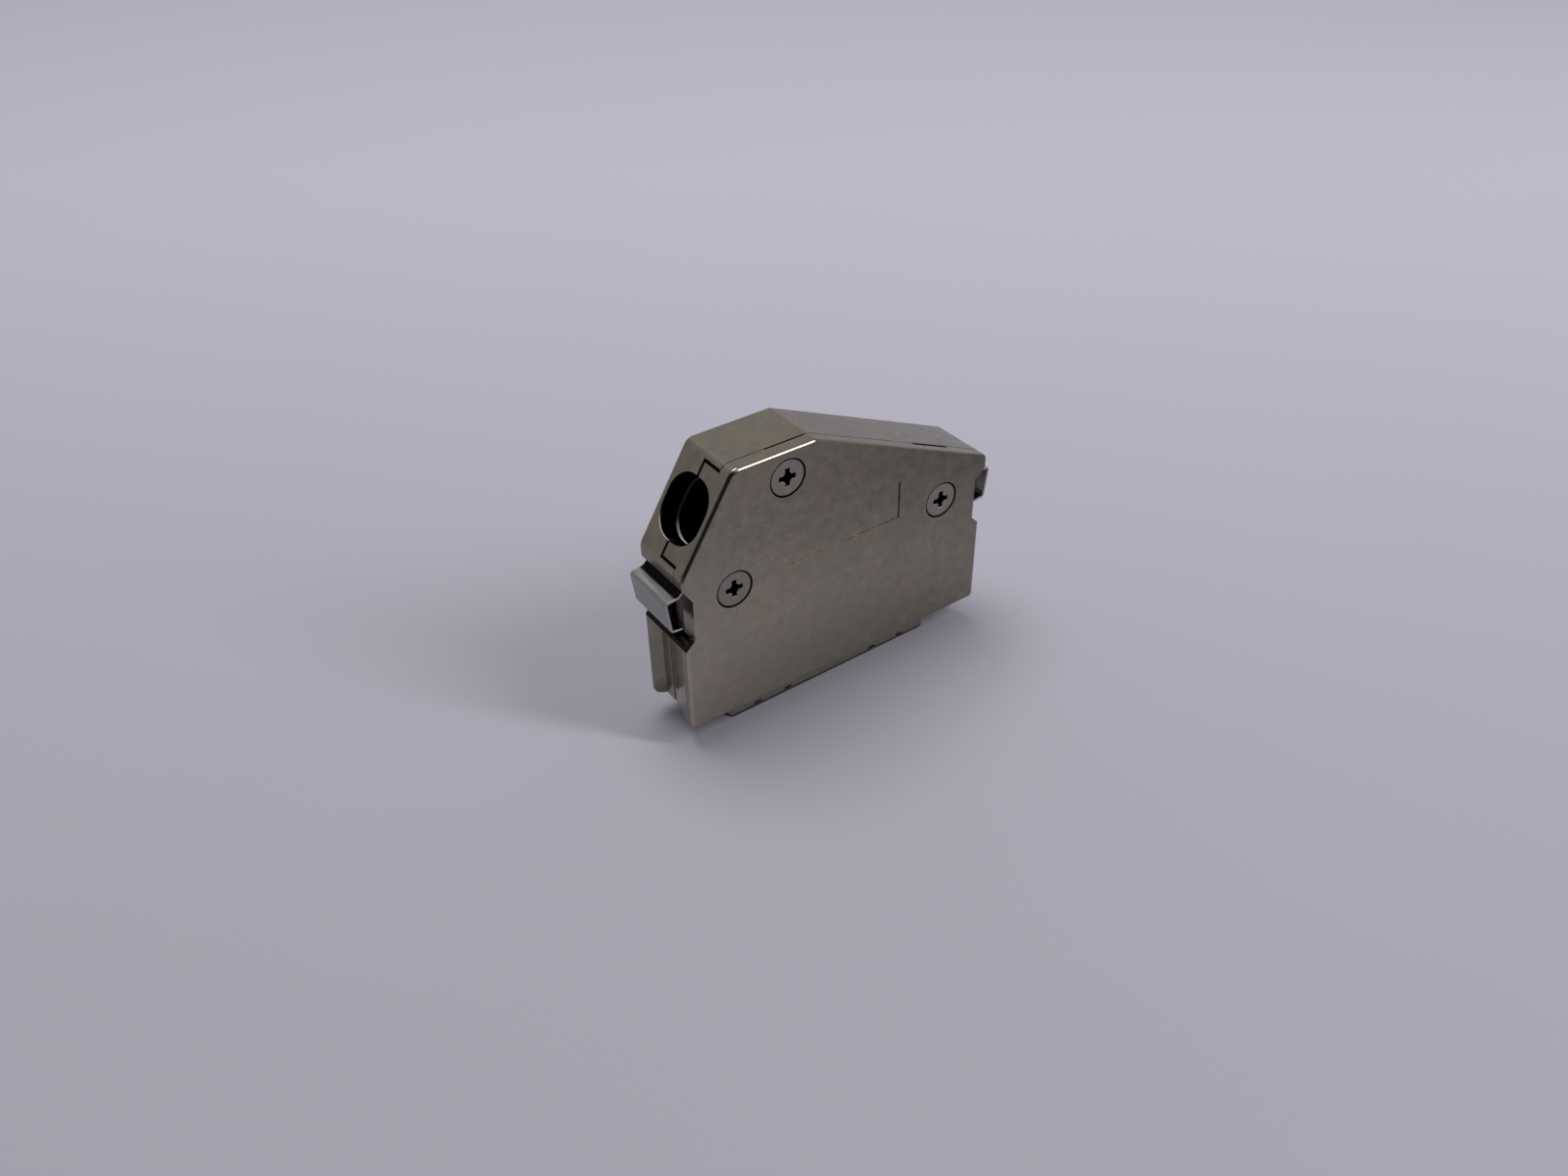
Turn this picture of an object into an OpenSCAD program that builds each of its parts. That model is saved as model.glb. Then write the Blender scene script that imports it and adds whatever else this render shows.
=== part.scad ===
// Half-pitch cable plug in a two-part die-cast hood, standing on its mating nose.
// Every piece is drawn lying on its back: x runs along the hood, y up from the hood's lower edge
// and z towards the front. stand() sets the drawing upright, with the nose's end on the floor.

/* [Hood outline] */
// Height of the hood from its lower edge to its flat top
hood_height = 38.4; // [37:0.2:42]
// Thickness of the closed hood from front to back
hood_thickness = 10.7; // [10.5:0.1:13]
// Height of the lower ends, under the finger notches
lower_end_height = 13.6; // [12.8:0.1:14.4]
// How far the finger notches cut into the ends
notch_depth = 1.5; // [1.2:0.1:1.6]
// Height of the slanted lower side of a finger notch
notch_lower_slant = 1.4; // [1.2:0.1:2]
// Height of the straight floor of a finger notch
notch_floor_height = 6.5; // [5.8:0.1:6.8]
// Height of the slanted upper side of a finger notch
notch_upper_slant = 2; // [1.9:0.1:2.5]
// How far the left shoulder stands out over the notch floor
left_shoulder = 1.3; // [0.9:0.1:1.9]
// How far the right shoulder stands out over the notch floor
right_shoulder = 2.1; // [0.9:0.1:2.9]
// Height of the left shoulder, from the notch to the cable face
left_shoulder_height = 1.9; // [1.5:0.1:2.9]
// Height of the right shoulder, from the notch to the sloping roof
right_shoulder_height = 1.4; // [1.2:0.1:2.5]
// Angle of the cable face from the horizontal
cable_face_angle = 58; // [54:0.5:62]
// Distance of the roof's peak to the left of the hood's middle
peak_offset = 4.4; // [2:0.2:7]

/* [Hood rounding] */
// Radius of the lower corners
foot_round = 0.8; // [0.7:0.1:1.2]
// Radius of the corners round the finger notches
notch_round = 0.35; // [0.2:0.05:0.6]
// Radius of the corner between the roof and the right shoulder
shoulder_round = 0.9; // [0.7:0.1:1.2]
// Radius of the peak
peak_round = 1; // [0.7:0.1:3]
// Radius of the corner between the cable face and the flat top
brow_round = 1.8; // [0.8:0.1:3]
// Radius of the corner under the cable face
chin_round = 2; // [0.8:0.1:2.5]
// Radius of the edges of the front and rear faces
edge_round = 0.6; // [0.3:0.05:0.65]
// Radius of the corners inside the hood
cavity_round = 0.5; // [0.3:0.1:0.8]

/* [Hood walls] */
// Thickness of the front and rear plates
plate_thickness = 1.2; // [1:0.1:1.5]
// Thickness of the roof
roof_thickness = 1.4; // [1.2:0.1:1.8]
// Thickness of the floor that the plug stands on
floor_thickness = 1.3; // [1:0.1:1.6]
// Room for a latch arm between the plug's flange and an end wall
latch_room = 2.7; // [2.5:0.1:4]
// Wall of the lower ends, measured to their outermost faces
end_wall = 2.8; // [2.6:0.1:3]
// Depth of the front shell's rim, from the front face to the seam
rim_depth = 2.2; // [2:0.1:2.6]
// Width of the groove that shows along the seam
seam_groove = 0.12; // [0.05:0.01:0.2]
// Depth of the groove that shows along the seam
seam_groove_depth = 0.35; // [0.2:0.05:0.6]
// Thickness of the plates beside the latch buttons
cheek_thickness = 0.8; // [0.7:0.05:0.9]
// Depth of the well under a latch button, from the top of the lower end
well_depth = 2; // [1.4:0.1:2.2]
// How far the well goes in behind the notch floor
well_reach = 0.6; // [0.4:0.1:0.7]
// Steepness of the well's floor, which falls to the inside
well_slope = 66; // [60:1:70]

/* [Lower ends] */
// Depth of the recess in each lower end, from its outermost face
end_recess = 1.5; // [1.2:0.1:1.6]
// Thickness of the rib behind the recess
end_rib = 0.95; // [0.7:0.05:1.2]
// Width of the slanted side of the rib
rib_slant = 0.8; // [0.5:0.1:1.2]
// Width of the flat floor of the recess
recess_floor = 2.6; // [2:0.1:3]
// Width of the ramp from the recess to the front
recess_ramp = 5.2; // [4:0.1:5.4]

/* [Cable inlet] */
// Width of the cable hole from front to back
cable_hole_width = 8.6; // [7:0.1:8.7]
// Length of the cable hole along the cable face
cable_hole_length = 9.2; // [8:0.1:10]
// Corner radius of the cable hole
cable_hole_round = 3.6; // [2.5:0.1:3.9]
// Distance of the hole's middle from the lower end of the cable face
cable_hole_place = 7.55; // [7:0.05:8]
// Depth of the wall that the cable hole passes through
cable_wall = 3.5; // [3:0.1:4]
// Width of the tongue that holds the front half of the hole
tongue_width = 13.4; // [12:0.1:13.6]
// Gap round the tongue
tongue_gap = 0.26; // [0.1:0.01:0.4]
// Diameter of the cable that the inner ribs clamp
cable_diameter = 7.6; // [6:0.1:8]
// Thickness of the inner clamp ribs
clamp_rib = 1; // [0.8:0.1:1.4]
// Distance of the outer clamp rib from the cable face
outer_rib_place = 6.2; // [5.6:0.1:6.8]
// Distance of the inner clamp rib from the cable face
inner_rib_place = 9.1; // [8.6:0.1:9.6]
// Gap between the two halves of the clamp
clamp_gap = 0.3; // [0.2:0.1:0.6]

/* [Screws] */
// Diameter of the screw heads
head_diameter = 5.2; // [4.8:0.1:5.6]
// Diameter of the screw shanks
shank_diameter = 2.6; // [2.3:0.1:2.9]
// Length of a screw from its flat head to its end
screw_length = 8; // [6:0.5:8.5]
// Straight land under the flat head
head_land = 0.2; // [0.1:0.05:0.3]
// How far the heads lie under the front face
head_sink = 0.1; // [0:0.01:0.15]
// Gap round the screw heads
head_gap = 0.2; // [0.05:0.01:0.3]
// Gap round the shanks in the front shell
shank_gap = 0.2; // [0.1:0.05:0.3]
// Gap round the shanks in the tapped bosses
thread_gap = 0.02; // [0.01:0.01:0.05]
// Chamfer at a screw's end
shank_chamfer = 0.2; // [0.1:0.05:0.4]
// Length of the cross recess at its top
cross_length = 2.7; // [2.2:0.1:3]
// Length of the cross recess at its bottom
cross_bottom = 1.3; // [1:0.1:1.6]
// Width of the arms of the cross recess
cross_width = 0.75; // [0.5:0.05:0.9]
// Diameter of the cone in the middle of the cross recess
cross_core = 1.5; // [1.2:0.1:1.7]
// Depth of the cross recess
cross_depth = 1.4; // [1:0.1:1.6]
// Wall of the tapped bosses
boss_wall = 1.4; // [1.3:0.1:1.6]
// Gap between the tapped bosses and the front shell's clamp ribs
boss_gap = 0.3; // [0.2:0.05:0.5]
// Wall round the countersinks inside the front shell
seat_wall = 0.5; // [0.4:0.1:0.8]
// Distance of the two lower screws from the inner faces of the end walls
lower_screw_inset = 5.1; // [4.9:0.1:5.7]
// Height of the two lower screws
lower_screw_height = 20.7; // [20:0.1:21.4]
// Distance of the upper screw from the corner over the cable face, along the flat top
upper_screw_run = 8.28; // [7.8:0.02:8.8]
// Distance of the upper screw under the flat top
upper_screw_drop = 4; // [3.8:0.1:4.6]

/* [Front face] */
// Length of the bare recess in the front face
panel_length = 18.5; // [14:0.5:20]
// Height of the bare recess
panel_height = 5.8; // [4:0.2:7]
// Distance of the recess to the right of the hood's middle
panel_x = 0.65; // [-1:0.05:2]
// Height of the middle of the recess
panel_middle = 23.7; // [22.5:0.1:25]
// Depth of the recess
panel_depth = 0.15; // [0.1:0.05:0.4]
// Depth of the prying slots
pry_depth = 1; // [0.5:0.1:1.1]
// Length of the prying slot in the flat top
top_pry_length = 6.2; // [3:0.2:7]
// Width of the prying slot in the flat top
top_pry_width = 0.3; // [0.2:0.05:0.5]
// Distance of the top prying slot from the peak
top_pry_place = 3.6; // [3.5:0.1:4.6]
// Length of the prying slot in the sloping roof
roof_pry_length = 7; // [4:0.2:9]
// Width of the prying slot in the sloping roof
roof_pry_width = 0.5; // [0.2:0.05:0.6]
// Distance of the roof's prying slot from the peak
roof_pry_place = 22.9; // [18:0.1:25]

/* [Latches] */
// Thickness of the latch steel
latch_steel = 0.3; // [0.25:0.05:0.4]
// Gap between a latch button and the plates beside it
button_gap = 0.15; // [0.1:0.05:0.25]
// How far the button's upper bend lies over the notch floor's upper end
button_rise = 0.45; // [0.3:0.05:0.7]
// Height of the button from its lower bend to its upper bend
button_height = 4.7; // [3.8:0.1:4.9]
// Distance of the upper bend outside the notch floor
button_reach = 3.4; // [3:0.1:3.8]
// Distance of the lower bend outside the notch floor
button_lower_reach = 2.8; // [2.4:0.1:3]
// Distance of the free lip's end outside the notch floor
lip_reach = 1.2; // [0.95:0.05:1.4]
// Rise of the free lip from its end to the lower bend
lip_rise = 0.1; // [0.05:0.05:0.6]
// Distance of the crease at the button's root outside the notch floor
crease_reach = 1.5; // [1.4:0.05:1.7]
// Rise from the upper bend to the crease
crease_rise = 0.25; // [0.1:0.05:0.35]
// Distance of the neck's outer end outside the notch floor
neck_reach = 0.7; // [0.6:0.05:0.85]
// Rise of the neck over the upper bend
neck_rise = 0.95; // [0.8:0.05:1]
// Distance of the wide part's inner end outside the notch floor
wide_end = 0.2; // [0.15:0.05:0.3]
// Room under the wide part in the slot that it enters
neck_room = 0.75; // [0.6:0.05:0.9]
// Bend radius of the button
button_bend = 0.45; // [0.4:0.05:0.8]
// Bend radius of the crease and the neck
crease_bend = 0.3; // [0.2:0.05:0.35]
// Width of the arm and neck
arm_width = 5; // [4:0.1:5.2]
// Gap beside the arm in the hood
arm_gap = 0.2; // [0.15:0.05:0.4]
// Gap between the arm's neck and the inner face of the end wall
neck_gap = 0.4; // [0.35:0.05:0.5]
// Height of the pivot ears
pivot_height = 9.5; // [9:0.1:10]
// Length of a pivot ear beside the arm
ear_length = 1.5; // [1:0.1:1.55]
// Height of a pivot ear
ear_height = 2; // [1.4:0.1:2.4]
// Gap round a pivot ear in its pocket
ear_gap = 0.15; // [0.12:0.01:0.2]
// Wall of the pockets for the pivot ears
ear_wall = 0.9; // [0.7:0.1:1]
// How far the arm leans in from its pivot to the hook
arm_lean = 0.6; // [0.5:0.05:0.8]
// Height of the bend over the hook, under the hood's lower edge
hook_drop = 0.4; // [0.2:0.05:0.6]
// How far the hook's barb stands inwards
barb_reach = 0.8; // [0.5:0.05:1]
// Height of the barb from the bend to its point
barb_height = 0.9; // [0.7:0.05:1.2]
// Bend radius of the barb's point
barb_bend = 0.3; // [0.2:0.05:0.4]
// How far the lead-in slopes outwards under the barb
lead_run = 0.6; // [0.4:0.05:0.7]
// Height of the lead-in under the barb
lead_height = 1.2; // [0.8:0.05:1.3]

/* [Plug nose] */
// Gap between the nose's metal and the ends of the tongue in it
blade_gap = 0.5; // [0.3:0.1:1]
// Thickness of the nose from front to back
nose_thickness = 5.8; // [5.4:0.1:6]
// How far the nose stands out under the hood
nose_reach = 3.6; // [3.4:0.1:4.5]
// How much shorter the nose is along its rear side, at each end
nose_taper = 0.8; // [0.4:0.1:1.2]
// Corner radius of the nose
nose_round = 0.9; // [0.7:0.1:1.3]
// Thickness of the shield's metal
shield_metal = 0.4; // [0.3:0.05:0.5]
// Gap between the nose and the hood's floor
nose_gap = 0.2; // [0.15:0.05:0.3]
// Length of the small slots along the nose
slot_length = 1.25; // [0.8:0.05:1.6]
// Height of the small slots
slot_height = 0.35; // [0.2:0.05:0.5]
// Height of the small slots over the nose's end
slot_place = 0.6; // [0.4:0.05:1]
// Distance of the inner pair of slots from the middle
inner_slot = 7.75; // [5:0.25:9]
// Distance of the outer pair of slots from the middle
outer_slot = 13; // [11:0.25:15]

/* [Plug body] */
// Length of the plug's flange
flange_length = 40; // [38:0.5:46]
// Thickness of the insulator's flange
flange_thickness = 2; // [1.5:0.1:2.5]
// Gap round the flange in the hood
flange_gap = 0.15; // [0.1:0.05:0.3]
// Length of the block that holds the contact tails
block_length = 35.2; // [33:0.2:36]
// Thickness of that block
block_thickness = 4.8; // [4:0.1:5]
// Height of that block over the flange
block_height = 4.4; // [3:0.1:6]
// Length of the tongue that carries the contacts
blade_length = 32.6; // [31:0.1:34]
// Thickness of that tongue
blade_thickness = 1.7; // [1.4:0.1:2]
// How far the tongue ends inside the nose
blade_inset = 0.6; // [0.4:0.1:1.2]
// Width of the ribs that hold the flange down
keeper_width = 1.2; // [0.8:0.1:1.6]
// Height of those ribs
keeper_height = 2.2; // [1.5:0.1:3]
// Distance between those ribs
keeper_pitch = 13; // [10:0.5:15]

/* [Contacts] */
// Most contacts in each of the two rows, if the tongue is long enough
contacts_in_row = 25; // [20:1:25]
// Least length of the tongue past the last contact of a row
contact_margin = 0.7; // [0.4:0.1:1]
// Distance between neighbouring contacts
contact_pitch = 1.27; // [1.2:0.01:1.3]
// Width of a contact
contact_width = 0.6; // [0.4:0.05:0.7]
// Thickness of a contact
contact_thickness = 0.25; // [0.2:0.05:0.35]
// Bevel at a contact's tip and tail
contact_bevel = 0.15; // [0.05:0.05:0.15]
// How far a contact stands out of the tongue's face
contact_proud = 0.1; // [0.05:0.01:0.15]
// Distance of a contact's tip from the tongue's end
contact_inset = 0.5; // [0.3:0.1:0.8]
// Length of a solder tail over the block
tail_length = 3; // [2:0.1:5]
// Gap round a contact in the insulator
contact_gap = 0.02; // [0.01:0.01:0.04]

/* [Hidden] */
contacts_that_fit = 1 + floor((blade_length - contact_width - 2 * contact_margin) / contact_pitch);
row_count = min(contacts_in_row, contacts_that_fit);
$fn = 48;
over = 1;
bury = 0.2;
least_round = 0.1;
// A rounded edge ends just short of a tangent. Its straight runs pass into the corners, where they
// are a hair deeper, so that no two cuts share a surface.
edge_share = 0.98;
edge_overlap = 0.03;
edge_step = 0.006;
// The arc of a rounded corner is a hair too wide, so that it always meets its two sides.
arc_spare = 0.0002;
plated_zinc = "#9a958d";
latch_colour = "#a3a1a5";
screw_colour = "#a8a390";
insulator_colour = "#1c1c1e";
contact_colour = "#c8a95a";

// The hood is built out from the plug: its cavity holds the flange and a latch arm at each end.
cavity_half = flange_length / 2 + latch_room;
half_length = cavity_half + end_wall;
hood_length = 2 * half_length;
half_thickness = hood_thickness / 2;
inner_half = half_thickness - plate_thickness;
seam = half_thickness - rim_depth;
notch_floor = half_length - notch_depth;
notch_floor_foot = lower_end_height + notch_lower_slant;
notch_floor_top = notch_floor_foot + notch_floor_height;
notch_top = notch_floor_top + notch_upper_slant;
cheek_half = half_thickness - cheek_thickness;
button_width = 2 * (cheek_half - button_gap);
window_half = arm_width / 2 + arm_gap;
// Places across a lower end, measured to the rear: the rib's inner edge, the recess and the seam.
rib_inside = half_thickness - end_rib;
recess_back = rib_inside - rib_slant;
recess_front = recess_back - recess_floor;
end_seam = recess_front + bury;

// The cable face rises from the left shoulder to the flat top, and the roof falls to the right one.
left_end = -notch_floor - left_shoulder;
right_end = notch_floor + right_shoulder;
cable_face_foot = notch_top + left_shoulder_height;
roof_foot = notch_top + right_shoulder_height;
brow = left_end + (hood_height - cable_face_foot) / tan(cable_face_angle);
roof_angle = atan2(hood_height - roof_foot, right_end + peak_offset);

// Corners of the hood, anticlockwise, each with its radius.
outline = [
    [-half_length, 0, foot_round],
    [half_length, 0, foot_round],
    [half_length, lower_end_height, notch_round],
    [notch_floor, notch_floor_foot, notch_round],
    [notch_floor, notch_floor_top, notch_round],
    [right_end, notch_top, notch_round],
    [right_end, roof_foot, shoulder_round],
    [-peak_offset, hood_height, peak_round],
    [brow, hood_height, brow_round],
    [left_end, cable_face_foot, chin_round],
    [left_end, notch_top, notch_round],
    [-notch_floor, notch_floor_top, notch_round],
    [-notch_floor, notch_floor_foot, notch_round],
    [-half_length, lower_end_height, notch_round]];
// Sides of the outline, by the corner where each starts, that keep a sharp edge: those of the notches.
sharp_sides = [2, 3, 4, 10, 11, 12];
function is_sharp(side) = len([for (s = sharp_sides) if (s == side) s]) > 0;

// The cavity follows the roof and the cable wall from inside.
ceiling = hood_height - roof_thickness;
function roof_inside(x) =
    hood_height - (x + peak_offset) * tan(roof_angle) - roof_thickness / cos(roof_angle);
function cable_wall_inside(y) =
    brow + (y - hood_height) / tan(cable_face_angle) + cable_wall / sin(cable_face_angle);
cavity_peak = -peak_offset - roof_thickness * tan(roof_angle / 2);
cavity_chin = hood_height
    - (brow + cable_wall / sin(cable_face_angle) + cavity_half) * tan(cable_face_angle);
cavity = [
    [-cavity_half, floor_thickness, cavity_round],
    [cavity_half, floor_thickness, cavity_round],
    [cavity_half, roof_inside(cavity_half), cavity_round],
    [cavity_peak, ceiling, cavity_round],
    [cable_wall_inside(ceiling), ceiling, cavity_round],
    [-cavity_half, cavity_chin, cavity_round]];

lower_screw_x = cavity_half - lower_screw_inset;
screw_places = [
    [brow + upper_screw_run, hood_height - upper_screw_drop],
    [-lower_screw_x, lower_screw_height],
    [lower_screw_x, lower_screw_height]];
boss_radius = shank_diameter / 2 + boss_wall;
seat_radius = head_diameter / 2 + head_gap + seat_wall;

// The nose goes round the tongue, and the flange over it lies on the hood's floor, under the keepers.
nose_length = blade_length + 2 * (blade_gap + nose_taper + shield_metal);
flange_half_thickness = inner_half - flange_gap;
flange_foot = floor_thickness + shield_metal;
flange_top = flange_foot + flange_thickness;
block_top = flange_top + block_height;
blade_end = blade_inset - nose_reach;
contact_tip = blade_end + contact_inset;
contact_top = block_top + tail_length;
contact_back = blade_thickness / 2 + contact_proud - contact_thickness;

// The arm hangs from the neck through its pivot, and leans in towards the hook.
arm_x = cavity_half - neck_gap - latch_steel / 2;
button_top = notch_floor_top + button_rise;
button_bottom = button_top - button_height;
neck_height = button_top + neck_rise;
hook_x = arm_x - arm_lean;
button_path = [
    [notch_floor + lip_reach, button_bottom - lip_rise, 0],
    [notch_floor + button_lower_reach, button_bottom, button_bend],
    [notch_floor + button_reach, button_top, button_bend],
    [notch_floor + crease_reach, button_top + crease_rise, crease_bend],
    [notch_floor + neck_reach, neck_height, crease_bend],
    [notch_floor + wide_end, neck_height, 0]];
arm_path = [
    [notch_floor + (wide_end + neck_reach) / 2, neck_height, 0],
    [arm_x, neck_height, button_bend],
    [arm_x, pivot_height, button_bend],
    [hook_x, -hook_drop, button_bend],
    [hook_x - barb_reach, -hook_drop - barb_height, barb_bend],
    [hook_x - barb_reach + lead_run, -hook_drop - barb_height - lead_height, 0]];

// Sets a drawing upright, on the end of the nose.
module stand() {
    translate([0, 0, nose_reach])
        rotate([90, 0, 0])
            children();
}

// Stands on the lower end of the cable face: x runs up the face and y points out of it.
module on_cable_face() {
    translate([left_end, cable_face_foot, 0])
        rotate(cable_face_angle)
            children();
}

// Directions and measures of corner i of a closed outline with rounded corners.
function unit(v) = v / norm(v);
function flat(p) = [p[0], p[1]];
function before(points, i) = flat(points[(i + len(points) - 1) % len(points)]);
function after(points, i) = flat(points[(i + 1) % len(points)]);
function way_in(points, i) = unit(flat(points[i]) - before(points, i));
function way_out(points, i) = unit(after(points, i) - flat(points[i]));
function turn(points, i) =
    let (a = way_in(points, i), b = way_out(points, i)) atan2(a[0] * b[1] - a[1] * b[0], a * b);
function trim(points, i) = points[i][2] * tan(abs(turn(points, i)) / 2);
function arc_start(points, i) = flat(points[i]) - way_in(points, i) * trim(points, i);
function arc_end(points, i) = flat(points[i]) + way_out(points, i) * trim(points, i);
function left_of(v) = [-v[1], v[0]];
function arc_centre(points, i) =
    arc_start(points, i) + left_of(way_in(points, i)) * points[i][2] * sign(turn(points, i));
function heading(v) = atan2(v[1], v[0]);

// A closed outline with an arc at every corner.
module rounded(points) {
    corners = [for (i = [0:len(points) - 1]) each [arc_start(points, i), arc_end(points, i)]];
    difference() {
        union() {
            polygon(corners);
            for (i = [0:len(points) - 1])
                if (turn(points, i) > 0)
                    translate(arc_centre(points, i)) circle(points[i][2] + arc_spare);
        }
        for (i = [0:len(points) - 1])
            if (turn(points, i) < 0)
                translate(arc_centre(points, i)) circle(points[i][2] + arc_spare);
    }
}

// Section of what a rounded edge takes away: x points out of the side and y out of the face.
module edge_section(radius) {
    depth = radius * edge_share;
    difference() {
        translate([-depth, -depth]) square(depth + over / 2);
        translate([-depth, -depth]) circle(radius);
    }
}

// Rounds the upper edge, at z = 0, of the hood's outline, but for its sharp sides. Next to a sharp
// side a straight run goes on past the corner.
module edge_cut(points, radius) {
    count = len(points);
    for (i = [0:count - 1])
        if (!is_sharp(i)) {
            next = (i + 1) % count;
            sharp_before = is_sharp((i + count - 1) % count);
            start = sharp_before
                ? flat(points[i]) - way_out(points, i) * over
                : arc_end(points, i) - way_out(points, i) * edge_overlap;
            end = is_sharp(next)
                ? flat(points[next]) + way_out(points, i) * over
                : arc_start(points, next) + way_out(points, i) * edge_overlap;
            translate(start)
                rotate(heading(end - start))
                    rotate([90, 0, 90])
                        linear_extrude(norm(end - start))
                            mirror([1, 0]) translate([-edge_step, -edge_step]) edge_section(radius);
            if (!sharp_before) corner_cut(points, i, radius);
        }
}
module corner_cut(points, i, radius) {
    bend = turn(points, i);
    side = bend > 0 ? -90 : 90;
    spare = edge_overlap / points[i][2] * 180 / PI;
    translate(arc_centre(points, i))
        rotate(heading(way_in(points, i)) + side + min(bend, 0) - spare)
            rotate_extrude(angle = abs(bend) + 2 * spare)
                translate([points[i][2], 0])
                    mirror([bend > 0 ? 0 : 1, 0]) edge_section(radius);
}

// A point on each arc of an open path, then the path as a strip of sheet metal.
bend_steps = 6;
function path_turn(points, i) =
    let (a = unit(flat(points[i]) - flat(points[i - 1])), b = unit(flat(points[i + 1]) - flat(points[i])))
        atan2(a[0] * b[1] - a[1] * b[0], a * b);
function bent(points) = [
    for (i = [0:len(points) - 1])
        if (i == 0 || i == len(points) - 1) flat(points[i])
        else
            let (a = unit(flat(points[i]) - flat(points[i - 1])),
                 bend = path_turn(points, i),
                 start = flat(points[i]) - a * points[i][2] * tan(abs(bend) / 2),
                 centre = start + left_of(a) * points[i][2] * sign(bend))
                each [for (k = [0:bend_steps])
                    let (t = heading(start - centre) + bend * k / bend_steps)
                        centre + points[i][2] * [cos(t), sin(t)]]];
function strip_side(path, offset) = [
    for (i = [0:len(path) - 1])
        let (a = unit(path[i] - path[max(i - 1, 0)] + (i == 0 ? path[1] - path[0] : [0, 0])),
             b = unit(path[min(i + 1, len(path) - 1)] - path[i]
                 + (i == len(path) - 1 ? path[i] - path[i - 1] : [0, 0])),
             middle = unit(a + b))
            path[i] + left_of(middle) * offset / (middle * a)];
function reversed(list) = [for (i = [len(list) - 1:-1:0]) list[i]];
module strip(points, thickness, width) {
    path = bent(points);
    linear_extrude(width, center = true)
        polygon(concat(strip_side(path, thickness / 2), reversed(strip_side(path, -thickness / 2))));
}

// The closed hood with all that both shells share cut out of it, and one face's edges rounded.
module hood(rear) {
    difference() {
        linear_extrude(hood_thickness, center = true) rounded(outline);
        mirror([0, 0, rear])
            translate([0, 0, half_thickness]) edge_cut(outline, edge_round);
        linear_extrude(2 * inner_half, center = true) rounded(cavity);
        cable_hole();
        for (side = [0, 1])
            mirror([side, 0, 0]) {
                latch_opening();
                end_shape();
            }
        translate([-cavity_half, -over, -nose_thickness / 2 - nose_gap])
            cube([2 * cavity_half, floor_thickness + 2 * over, nose_thickness + 2 * nose_gap]);
    }
}

// Round-cornered hole through the cable wall.
module cable_hole() {
    half_width = cable_hole_width / 2;
    half_reach = cable_hole_length / 2;
    hole = [
        [-half_reach, -half_width, cable_hole_round],
        [half_reach, -half_width, cable_hole_round],
        [half_reach, half_width, cable_hole_round],
        [-half_reach, half_width, cable_hole_round]];
    on_cable_face()
        translate([cable_hole_place, over, 0])
            rotate([90, 0, 0])
                linear_extrude(cable_wall + 2 * over) rounded(hole);
}

// Space for the button between the two plates, with a well under it, the window that its arm passes
// and the slot over the window for its neck.
module latch_opening() {
    well_foot = lower_end_height - well_depth;
    well_inside = notch_floor - well_reach;
    well_outside = half_length + over;
    linear_extrude(2 * cheek_half, center = true)
        polygon([
            [well_inside, well_foot],
            [notch_floor, well_foot],
            [well_outside, well_foot + (well_outside - notch_floor) * tan(well_slope)],
            [well_outside + over, notch_top],
            [notch_floor, notch_top],
            [notch_floor, notch_floor_foot],
            [well_inside, lower_end_height]]);
    linear_extrude(2 * window_half, center = true)
        polygon([
            [cavity_half - over, well_foot],
            [notch_floor - bury, well_foot],
            [notch_floor + bury, notch_floor_foot],
            [notch_floor + bury, notch_top],
            [cavity_half - over, notch_top]]);
    slot_foot = neck_height - neck_room;
    translate([cavity_half - bury, slot_foot, -cheek_half])
        cube([notch_floor - cavity_half + 2 * bury, notch_top - slot_foot, 2 * cheek_half]);
}

// Recess of a lower end, with a slanted rib behind it and a ramp to the front.
module end_shape() {
    rotate([-90, 0, 0])
        translate([0, 0, -over])
            linear_extrude(lower_end_height + over)
                polygon([
                    [half_length + over, rib_inside],
                    [half_length, rib_inside],
                    [half_length - end_recess, recess_back],
                    [half_length - end_recess, recess_front],
                    [half_length, recess_front - recess_ramp],
                    [half_length + over, recess_front - recess_ramp]]);
}

// What belongs to the front shell: its rim, its tongue and the front of the floor and ends.
module front_zone(gap) {
    reach = hood_length + 2 * over;
    translate([-reach / 2, -over, seam])
        cube([reach, hood_height + 2 * over, rim_depth + over]);
    tongue_zone(gap);
    translate([-cavity_half, -over, 0])
        cube([2 * cavity_half, floor_thickness + cavity_round + over, half_thickness]);
    for (side = [0, 1])
        mirror([side, 0, 0]) {
            translate([cavity_half, -over, -end_seam - gap])
                cube([end_wall + over, lower_end_height + over, half_thickness + end_seam + 2 * over]);
            translate([cavity_half, -over, window_half - arm_gap])
                cube([end_wall + over, notch_top + over, half_thickness]);
        }
}
module tongue_zone(gap) {
    on_cable_face()
        translate([cable_hole_place - tongue_width / 2 - gap, -cable_wall - over, -gap])
            cube([tongue_width + 2 * gap, cable_wall + 2 * over, half_thickness + over]);
}

// Ribs that hold one half of the cable, drawn for the front.
module clamp_ribs() {
    on_cable_face()
        difference() {
            for (place = [outer_rib_place, inner_rib_place])
                translate([cable_hole_place - tongue_width / 2, -place - clamp_rib / 2, clamp_gap / 2])
                    cube([tongue_width, clamp_rib, inner_half + bury - clamp_gap / 2]);
            translate([cable_hole_place, 0, 0])
                rotate([90, 0, 0])
                    cylinder(d = cable_diameter, h = inner_rib_place + over);
        }
}

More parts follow.
